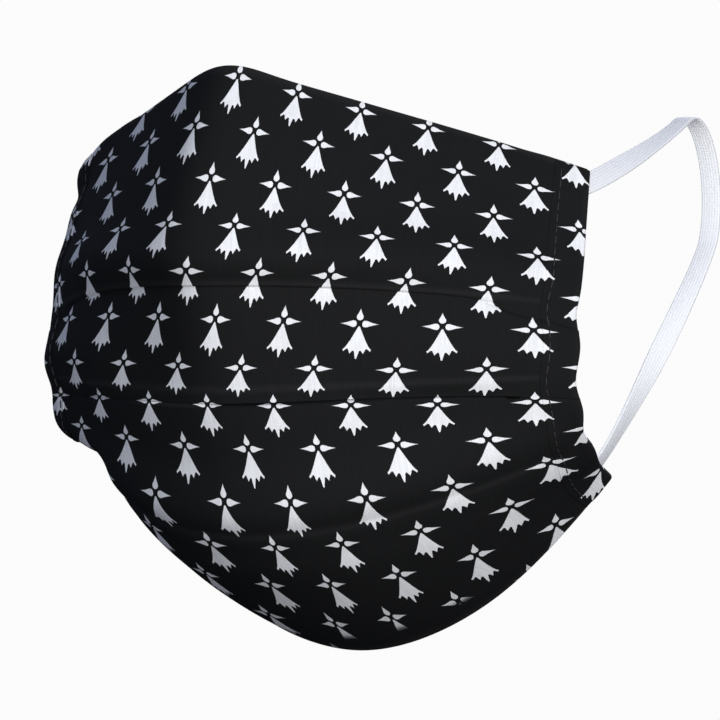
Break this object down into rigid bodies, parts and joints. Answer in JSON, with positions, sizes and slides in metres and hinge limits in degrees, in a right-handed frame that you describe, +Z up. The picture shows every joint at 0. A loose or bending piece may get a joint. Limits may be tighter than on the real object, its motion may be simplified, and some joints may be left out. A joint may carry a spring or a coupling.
{
  "type": "cloth face mask",
  "caption": "Pleated cloth face mask in its worn shape: one pleated panel with folded side hems and a flat elastic loop for each ear.",
  "frame": {"origin": "where the middle of the top edge sits on the nose bridge", "axes": "+Z up the wearer's face, -Y out of the front of the mask, +X towards the wearer's left ear"},
  "size_m": [0.1552, 0.1352, 0.151],
  "materials": {
    "printed_cloth": "matt black woven cloth with white ermine spots",
    "hem_cloth": "the same black cloth, folded and stitched",
    "white_elastic": "white knitted flat elastic"
  },
  "bodies": {
    "root": {"mask_panel": "printed_cloth", "side_hem_left": "hem_cloth", "side_hem_right": "hem_cloth", "ear_loop_left": "white_elastic", "ear_loop_right": "white_elastic"}
  },
  "joints": []
}
